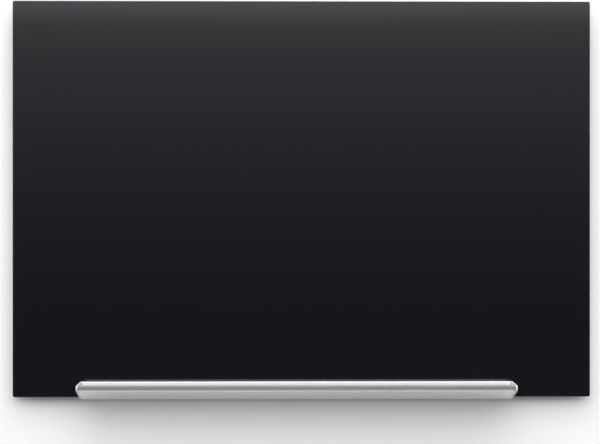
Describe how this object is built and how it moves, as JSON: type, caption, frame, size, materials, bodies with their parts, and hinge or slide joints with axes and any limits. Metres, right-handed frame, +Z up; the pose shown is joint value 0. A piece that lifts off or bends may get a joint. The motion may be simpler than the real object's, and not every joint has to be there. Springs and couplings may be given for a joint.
{
  "type": "glass whiteboard",
  "caption": "Frameless black glass dry-erase board on a hook rail, with a sliding aluminium pen tray along its bottom edge.",
  "frame": {"origin": "centre of the wall rail's back face, which lies against the wall", "axes": "+X to the viewer's right across the board, +Y into the wall, +Z up; the board faces -Y"},
  "size_m": [0.89, 0.0744, 0.6127],
  "materials": {
    "black_glass": "polished glass, painted black behind",
    "sheet_steel": "galvanised",
    "frame_aluminium": "mill finish",
    "rail_aluminium": "mill finish",
    "tray_aluminium": "satin anodised",
    "liner": "soft matt",
    "cap_plastic": "fine moulded grain",
    "nylon": "moulded",
    "rubber": "matt",
    "screw_steel": "zinc plated"
  },
  "bodies": {
    "wall_side": {"wall_rail": "rail_aluminium"},
    "board": {"bumper_bottom_left": "rubber", "bumper_bottom_right": "rubber", "bumper_top_left": "rubber", "bumper_top_right": "rubber", "corner_key_bottom_left": "nylon", "corner_key_bottom_right": "nylon", "corner_key_top_left": "nylon", "corner_key_top_right": "nylon", "frame_bottom": "frame_aluminium", "frame_left": "frame_aluminium", "frame_right": "frame_aluminium", "frame_top": "frame_aluminium", "glass_panel": "black_glass", "key_screw_bottom_left_1": "screw_steel", "key_screw_bottom_left_2": "screw_steel", "key_screw_bottom_right_1": "screw_steel", "key_screw_bottom_right_2": "screw_steel", "key_screw_top_left_1": "screw_steel", "key_screw_top_left_2": "screw_steel", "key_screw_top_right_1": "screw_steel", "key_screw_top_right_2": "screw_steel", "steel_sheet": "sheet_steel", "tray_guide_left": "nylon", "tray_guide_left_screw_1": "screw_steel", "tray_guide_left_screw_2": "screw_steel", "tray_guide_middle": "nylon", "tray_guide_middle_screw_1": "screw_steel", "tray_guide_middle_screw_2": "screw_steel", "tray_guide_right": "nylon", "tray_guide_right_screw_1": "screw_steel", "tray_guide_right_screw_2": "screw_steel"},
    "tray": {"tray_extrusion": "tray_aluminium", "tray_liner": "liner", "end_cap_left": "cap_plastic", "end_cap_right": "cap_plastic"}
  },
  "joints": [
    {"name": "board_lift", "type": "slide", "parent": "wall_side", "child": "board", "axis": [0, 0, 1], "range_m": [0, 0.008]},
    {"name": "tray_slide", "type": "slide", "parent": "board", "child": "tray", "axis": [1, 0, 0], "range_m": [-0.1, 0.116]}
  ]
}
